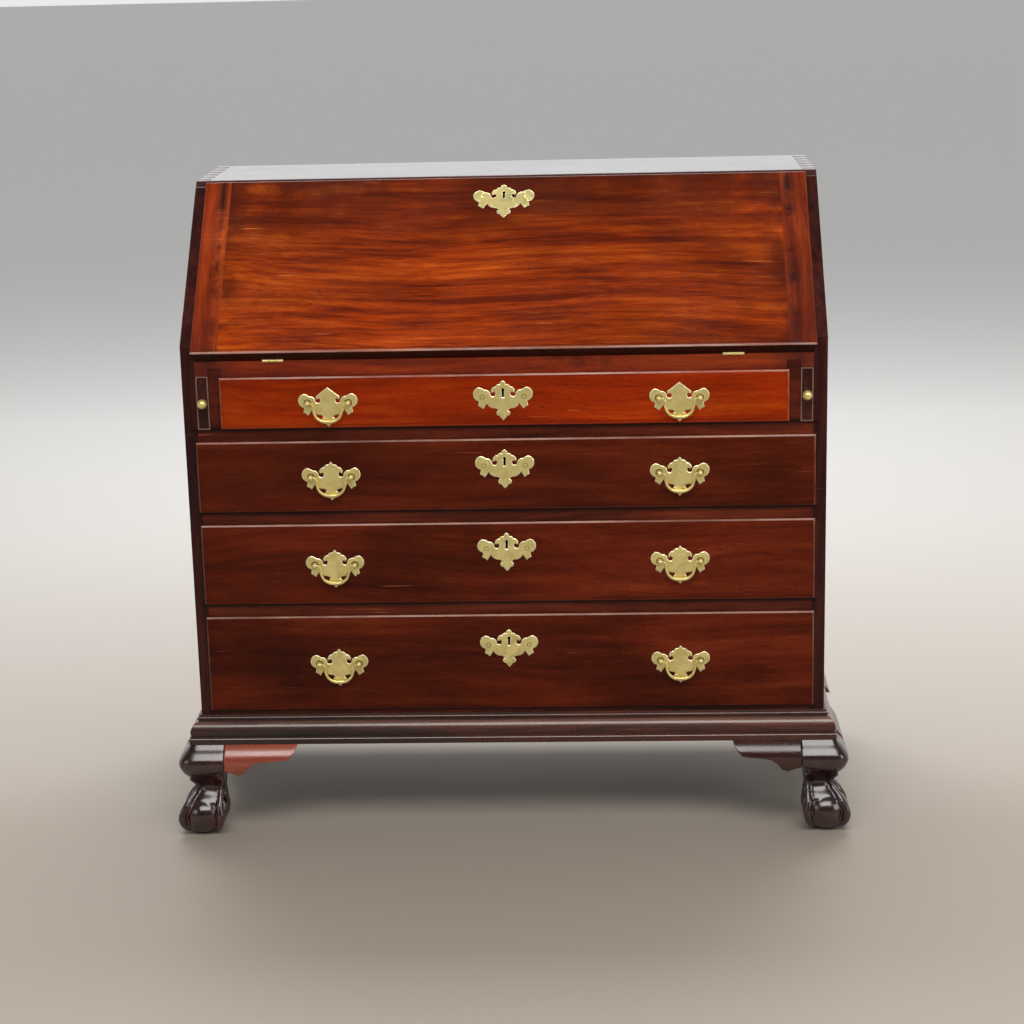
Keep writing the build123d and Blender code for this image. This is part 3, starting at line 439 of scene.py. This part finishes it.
# Height, reach outwards and inwards from the corner of the case, and squareness of the plan.
leg_levels = [
    (0, 22, -12, 3), (8, 31, 23, 3), (18, 40, 31, 3), (30, 44, 35, 3), (42, 41, 34, 3), (54, 34, 33, 3),
    (61, 29, 32, 2.8), (68, 22, 31, 2.8), (75, 16.4, 31, 2.8), (80, 14.5, 32, 2.8), (84, 15.3, 32.4, 3),
    (91, 19.6, 33, 3.2), (99, 26.5, 33, 3.6), (106, 32.5, 33.4, 4), (112, 36.5, 35, 4), (116, 38.6, 39, 4),
    (124, 40.8, 39, 4), (133, 39, 39, 4.2), (143, 32, 39, 4.8), (151, 24.6, 39, 6),
    (foot_top + 1, 19.6, 39, 8),
]
# The leg starts inside the ball, and its knee is sawn square on the two inner faces.
leg_start, level_step, level_count = 54, 2.5, 43
knee_start, sawn_square = 112, 60
# Below its top the web between the talons draws in, fully after the fade.
web_top, web_fade, web_depth = 96, 26, 4
ball_height, ball_radius, ball_rise = 30, 39, 34.5
# Each talon from the ankle to the floor, and its radius there.
talon_heights = [96, 88, 80, 72, 64, 57, 50, 43, 36, 29, 22, 15, 10]
talon_radii = [2.6, 3.2, 3.6, 4, 4.6, 5.6, 7.4, 6.4, 6.4, 7.4, 6.8, 6.4, 5.6]


def leg_reach(height):
    """How far the leg reaches at a height, outwards and inwards, and how square it is."""
    index = max(i for i, row in enumerate(leg_levels[:-1]) if row[0] <= height)
    rows = [leg_levels[max(0, min(len(leg_levels) - 1, index + step))] for step in (-1, 0, 1, 2)]
    span = rows[2][0] - rows[1][0]
    share = (height - rows[1][0]) / span
    values = []
    for before, start, end, after in zip(*[row[1:] for row in rows]):
        leave = (end - before) / (rows[2][0] - rows[0][0]) * span
        arrive = (after - start) / (rows[3][0] - rows[1][0]) * span
        rise = end - start
        values.append(start + share * (leave + share * (3 * rise - 2 * leave - arrive
                                                        + share * (leave + arrive - 2 * rise))))
    return values


def made_from(name, shape):
    """A new piece from a finished shape."""
    mesh = bpy.data.meshes.new(name)
    shape.to_mesh(mesh)
    shape.free()
    piece = bpy.data.objects.new(name, mesh)
    bpy.context.scene.collection.objects.link(piece)
    return piece


def carved_foot(name, side, at_back):
    """One foot at the corner of the case on this side: -1 for the left, 1 for the right."""

    def spot(height, across, along, inset=0):
        """A point of the leg at a height: across and along go from -1, inside, to 1, outside."""
        outer, inner, _ = leg_reach(height)
        half = (outer + inner) / 2 - inset
        middle = (outer - inner) / 2
        depth = case_back - (outer + inner) / 2 if at_back else case_front - middle
        return Vector((side * (case_edge + middle + across * half), depth - along * half, height)) * mm

    shape = bmesh.new()
    heights = [leg_start + level_step * step for step in range(level_count)]
    bmesh.ops.create_circle(shape, segments=48, radius=1)
    ring = list(shape.edges)
    for _ in heights[1:]:
        grown = bmesh.ops.extrude_edge_only(shape, edges=ring)["geom"]
        corners = [part for part in grown if isinstance(part, bmesh.types.BMVert)]
        bmesh.ops.translate(shape, verts=corners, vec=(0, 0, 1))
        ring = [part for part in grown if isinstance(part, bmesh.types.BMEdge) and part.verts[0] in corners
                and part.verts[1] in corners]
    bmesh.ops.holes_fill(shape, edges=shape.edges)
    for vert in shape.verts:
        height = min(heights[round(vert.co.z)], foot_top + 1)
        square = leg_reach(height)[2]
        web = max(0, min(1, (web_top - height) / web_fade)) * web_depth
        if height > knee_start and min(vert.co.x, vert.co.y) < 0:
            square = sawn_square
        reach = (abs(vert.co.x) ** square + abs(vert.co.y) ** square) ** (-1 / square)
        vert.co = spot(height, vert.co.x * reach, vert.co.y * reach, web)
    round_ball = Matrix.Diagonal((ball_radius * mm, ball_radius * mm, ball_rise * mm, 1))
    ball = Matrix.Translation(spot(ball_height, 0, 0)) @ round_ball
    bmesh.ops.create_uvsphere(shape, u_segments=40, v_segments=24, radius=1, matrix=ball)
    for across in (-1, 1):
        for along in (-1, 1):
            path = [(spot(height, across, along, radius), radius)
                    for height, radius in zip(talon_heights, talon_radii)]
            for (start, thick), (end, thin) in zip(path, path[1:]):
                for share in (0, 0.25, 0.5, 0.75):
                    middle = Matrix.Translation(start.lerp(end, share))
                    radius = (thick + (thin - thick) * share) * mm
                    bmesh.ops.create_icosphere(shape, subdivisions=2, radius=radius, matrix=middle)
    for vert in shape.verts:
        vert.co.z = max(0, vert.co.z)
    bmesh.ops.recalc_face_normals(shape, faces=shape.faces)
    foot = made_from(name, shape)
    carved_as_one(foot, 1.3 * mm, 8)
    return foot


foot_tones = ((0.008, 0.002, 0.002), (0.028, 0.005, 0.004), (0.085, 0.014, 0.007))
foot_wood = polished_wood("foot mahogany", foot_tones, along_z, 22, gloss=0.16, worn=0.5, mirror=1.2)
for end in ("front", "back"):
    for side_name, side in (("left", -1), ("right", 1)):
        foot = carved_foot(f"carved_foot_{end}_{side_name}", side, end == "back")
        foot.data.materials.append(foot_wood)
        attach(foot, "case")
        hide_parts(f"foot_{end}_{side_name}")

# ---------------------------------------------------------------- brasses
# Sawn and filed plates, cast bails and turned posts in yellow brass that is rubbed bright
# on its high places and has old polish in its hollows. Their filed rims are paler, partly
# rubbed bright and partly a painted highlight, and the insides of the locks are painted shade.


def rubbed_brass(name, base, old, shine=1.0):
    """Yellow brass with a thin uneven tarnish."""
    material = bpy.data.materials.new(name)
    material.use_nodes = True
    tree = material.node_tree
    shader = tree.nodes["Principled BSDF"]
    here = add(tree, "TexCoord").outputs["Object"]
    clouds = add(tree, "TexNoise", {"Vector": here, "Scale": 60, "Detail": 5, "Roughness": 0.6})
    cloud = clouds.outputs["Fac"]
    grit = add(tree, "TexNoise", {"Vector": here, "Scale": 900, "Detail": 3}).outputs["Fac"]
    mark = fit(tree, cloud, 0.42, 0.64, 0, 0.75)
    tree.links.new(tint(tree, mark, (*base, 1), (*old, 1)), shader.inputs["Base Color"])
    shader.inputs["Metallic"].default_value = shine
    tree.links.new(fit(tree, cloud, 0.35, 0.7, 0.26, 0.5), shader.inputs["Roughness"])
    bump = add(tree, "Bump", {"Height": grit, "Strength": 0.2, "Distance": 0.1 * mm})
    tree.links.new(bump.outputs["Normal"], shader.inputs["Normal"])
    return material


brass = rubbed_brass("rubbed brass", (1.0, 0.88, 0.37), (0.76, 0.61, 0.22), 0.7)
# The filed rims: partly rubbed bright, partly a painted highlight.
rim_brass_highlight = rubbed_brass("rubbed rim and painted highlight", (1.0, 0.93, 0.6), (0.95, 0.82, 0.42), 0.5)
# Painted shade: a near-black finish for the faces deep inside a lock.
lock_painted_shade = rubbed_brass("painted shade inside a lock", (0.003, 0.0025, 0.002), (0.001, 0.001, 0.001), 0.0)
lock_painted_shade.node_tree.nodes["Principled BSDF"].inputs["Specular IOR Level"].default_value = 0.05
dirt_tones = ((0.02, 0.014, 0.006), (0.04, 0.03, 0.012), (0.08, 0.06, 0.025))
old_dirt = polished_wood("old polish in hollows", dirt_tones)
rim_width, rim_fall = 1.1 * mm, 0.7 * mm
lock_depth = 1.3 * mm
# How near a face's normal comes to the outward direction, where 1 is the same.
straight = 0.999


def plate_level(shape, outward):
    """Where the plates' faces lie along the outward direction: the level with most area."""
    areas = {}
    for face in shape.faces:
        if face.normal.dot(outward) > straight:
            level = round(face.calc_center_median().dot(outward) / mm, 1)
            areas[level] = areas.get(level, 0) + face.calc_area()
    return max(areas, key=areas.get) * mm


def filed_rims(name, body, outward):
    """A node of plates again, with the rim of every plate filed to a bevel."""
    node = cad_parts[name]
    shape = bmesh.new()
    shape.from_mesh(node.data)
    bmesh.ops.remove_doubles(shape, verts=shape.verts, dist=0.01 * mm)
    level = plate_level(shape, outward)
    near = 0.05 * mm
    flat = [face for face in shape.faces if face.normal.dot(outward) > straight
            and abs(face.calc_center_median().dot(outward) - level) < near]
    bevel = bmesh.ops.inset_region(shape, faces=flat, thickness=rim_width, use_even_offset=True,
                                   use_boundary=True)
    inner = {vert for face in flat for vert in face.verts}
    rim = {vert for vert in shape.verts if abs(vert.co.dot(outward) - level) < near} - inner
    bmesh.ops.translate(shape, verts=list(rim), vec=outward * -rim_fall)
    # Faces deep inside a lock take the painted shade.
    for face in shape.faces:
        face.material_index = int(face.calc_center_median().dot(outward) < level - lock_depth)
    # The filed rims take the paler brass: partly rubbed, partly a painted highlight.
    for face in bevel["faces"]:
        face.material_index = 2
    plates = made_from(f"{name}_filed", shape)
    for finish in (brass, lock_painted_shade, rim_brass_highlight):
        plates.data.materials.append(finish)
    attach(plates, body)
    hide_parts(name)


def ringed(name, body, places, radius, outward, thick=0.45 * mm):
    """Thin dark rings where polish has gathered round nail heads and posts."""
    shape = bmesh.new()
    turned = outward.to_track_quat("Z", "Y").to_matrix().to_4x4()
    for place in places:
        wire = bmesh.ops.create_circle(shape, segments=8, radius=thick)["verts"]
        bmesh.ops.rotate(shape, verts=wire, matrix=Matrix.Rotation(math.radians(90), 3, "X"))
        bmesh.ops.translate(shape, verts=wire, vec=(radius, 0, 0))
        edges = list({edge for vert in wire for edge in vert.link_edges})
        bmesh.ops.spin(shape, geom=wire + edges, axis=(0, 0, 1), cent=(0, 0, 0), angle=math.tau,
                       steps=28, use_merge=True)
        fresh = [vert for vert in shape.verts if not vert.tag]
        bmesh.ops.transform(shape, verts=fresh, matrix=Matrix.Translation(place) @ turned)
        for vert in shape.verts:
            vert.tag = True
    bmesh.ops.remove_doubles(shape, verts=shape.verts, dist=0.001 * mm)
    bmesh.ops.recalc_face_normals(shape, faces=shape.faces)
    rings = made_from(name, shape)
    rings.data.materials.append(old_dirt)
    rings.data.polygons.foreach_set("use_smooth", [True] * len(rings.data.polygons))
    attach(rings, body)


# Half a bail from its pin to its middle: the share of its half width, the share of its drop,
# and its radius in millimetres.
hung = [(1, 0, 1.5), (0.76, 0, 1.5), (0.665, 0.11, 1.8), (0.645, 0.42, 1.8), (0.44, 0.85, 2.4)]
bail_middle = (0, 1, 3.1)
# The pins' middle lines lie below the top of the bail, and their ends inside its sides.
pin_below, pin_inside = 2.2 * mm, 1 * mm


def cast_bail(number, side):
    """A bail cast thick at its middle and drawn thin to the pins in its posts."""
    low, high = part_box(f"drawer_{number}_bail_{side}")
    middle = (low.x + high.x) / 2
    depth = (low.y + high.y) / 2
    top = high.z - pin_below
    half = (high.x - low.x) / 2 - pin_inside
    drop = high.z - low.z - 2 * pin_below
    curve = bpy.data.curves.new(f"bail_{number}_{side}", "CURVE")
    curve.dimensions = "3D"
    curve.bevel_depth = mm
    curve.bevel_resolution = 5
    curve.use_fill_caps = True
    spline = curve.splines.new("BEZIER")
    outline = [(-out, fall, thick) for out, fall, thick in hung] + [bail_middle] + hung[::-1]
    spline.bezier_points.add(len(outline) - 1)
    for point, (out, fall, thick) in zip(spline.bezier_points, outline):
        point.co = (middle + out * half, depth, top - fall * drop)
        point.handle_left_type = point.handle_right_type = "AUTO"
        point.radius = thick
    bail = bpy.data.objects.new(f"bail_{number}_{side}", curve)
    bpy.context.scene.collection.objects.link(bail)
    bail.data.materials.append(brass)
    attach(bail, f"drawer_{number}_bail_{side}")
    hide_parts(f"drawer_{number}_bail_{side}")


forwards = Vector((0, -1, 0))
plate_thickness = 1.6 * mm
plate_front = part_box("drawer_1_front")[0].y - plate_thickness
nail_out, nail_drop, nail_ring = 33.4 * mm, 26.4 * mm, 3.3 * mm
post_out, post_ring = 33 * mm, 5.4 * mm
plate_half = 32.5 * mm
# How far the middle of each drawer's plates lies below the top of its front, in millimetres.
for number, plate_drop in ((1, 43), (2, 50), (3, 50), (4, 58)):
    body = f"drawer_{number}"
    filed_rims(f"{body}_brasses", body, forwards)
    nail_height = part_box(f"{body}_front")[1].z - plate_drop * mm + plate_half - nail_drop
    nails = [Vector((out, plate_front, nail_height)) for out in (-nail_out, nail_out)]
    ringed(f"{body}_nail_rings", body, nails, nail_ring, forwards)
    for side in ("left", "right"):
        cast_bail(number, side)
        low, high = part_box(f"{body}_bail_{side}")
        middle = (low.x + high.x) / 2
        pins = high.z - pin_below
        posts = [Vector((middle + out, plate_front, pins)) for out in (-post_out, post_out)]
        ringed(f"{body}_post_rings_{side}", body, posts, post_ring, forwards, 0.7 * mm)
slope = math.radians(45)
filed_rims("lid_escutcheon", "fall", Vector((0, -math.cos(slope), math.sin(slope))))
dress(["hinge_leaves_case", "hinge_leaves_lid"], brass, 0.3 * mm)
dress(["loper_knob_left", "loper_knob_right"], brass, 0)

# ---------------------------------------------------------------- iron
# The lock in the fall and the pins of its hinges.
iron = rubbed_brass("dull iron", (0.2, 0.19, 0.18), (0.08, 0.06, 0.05))
dress(["lid_lock", "hinge_pins"], iron, 0)

# ---------------------------------------------------------------- floor, light and camera
# A floor painted darker in front of the desk and pale behind it, painted shade and light, and pale
# surroundings behind, with soft lights above and in front.
room = bmesh.new()
bmesh.ops.create_grid(room, x_segments=1, y_segments=1, size=40)
floor = made_from("floor", room)
floor_finish = bpy.data.materials.new("pale floor")
floor_finish.use_nodes = True
ground = floor_finish.node_tree
# Painted shade and light: the floor darkens towards the front so the fronts reflect less, and grows pale
# behind.
paler = fit(ground, placed(ground, "Y"), -0.2, 3, 0, 1)
floor_colour = tint(ground, paler, (0.42, 0.36, 0.3, 1), (0.95, 0.94, 0.92, 1))
floor_shader = ground.nodes["Principled BSDF"]
ground.links.new(floor_colour, floor_shader.inputs["Base Color"])
floor_shader.inputs["Roughness"].default_value = 0.6
floor.data.materials.append(floor_finish)

world = bpy.data.worlds.new("pale room")
bpy.context.scene.world = world
world.use_nodes = True
sky = world.node_tree
toward = add(sky, "SeparateXYZ", {"Vector": add(sky, "TexCoord").outputs["Generated"]})
behind = fit(sky, toward.outputs["Y"], -0.1, 0.5, 0, 1)
low_down = fit(sky, toward.outputs["Z"], 0.05, 0.3, 0.3, 0)
bright = work_out(sky, "MAXIMUM", behind, low_down)
sky_colour = tint(sky, bright, (0.1, 0.095, 0.09, 1), (0.86, 0.87, 0.88, 1))
sky.links.new(sky_colour, sky.nodes["Background"].inputs["Color"])
sky.nodes["Background"].inputs["Strength"].default_value = 0.95


def softbox(name, place, aim, size, power, colour=(1, 1, 1)):
    """A soft rectangular light at a place, turned to face a point."""
    data = bpy.data.lights.new(name, "AREA")
    data.shape = "RECTANGLE"
    data.size, data.size_y = size
    data.energy = power
    data.color = colour
    light = bpy.data.objects.new(name, data)
    light.location = place
    light.rotation_euler = (Vector(aim) - Vector(place)).to_track_quat("-Z", "Y").to_euler()
    bpy.context.scene.collection.objects.link(light)


softbox("key", (0.25, -2.3, 3.1), (0, 0, 0.6), (3.4, 1.5), 72, (1.0, 0.98, 0.95))
softbox("fill", (-2.8, -2.6, 1.8), (0, 0, 0.5), (1.4, 1.4), 8, (0.93, 0.96, 1.0))
softbox("right", (3.0, -2.0, 1.6), (0, 0, 0.5), (1.2, 1.6), 18, (1.0, 0.98, 0.95))
softbox("above", (0, 1.8, 3.2), (0, 0.2, 0.8), (3.4, 1.2), 90)

eye = bpy.data.cameras.new("camera")
eye.sensor_width = 36
eye.lens = 80.24
camera = bpy.data.objects.new("camera", eye)
bpy.context.scene.collection.objects.link(camera)
bpy.context.scene.camera = camera
eye_place = Matrix.Translation((0.1721, -3.8128, 1.4944))
swing, dip, tilt = 0.04507, 0.2566, -0.02432
aimed = Matrix.Rotation(swing, 4, "Z") @ Matrix.Rotation(math.radians(90) - dip, 4, "X")
camera.matrix_world = eye_place @ aimed @ Matrix.Rotation(tilt, 4, "Z")
bpy.context.scene.view_settings.view_transform = "Standard"
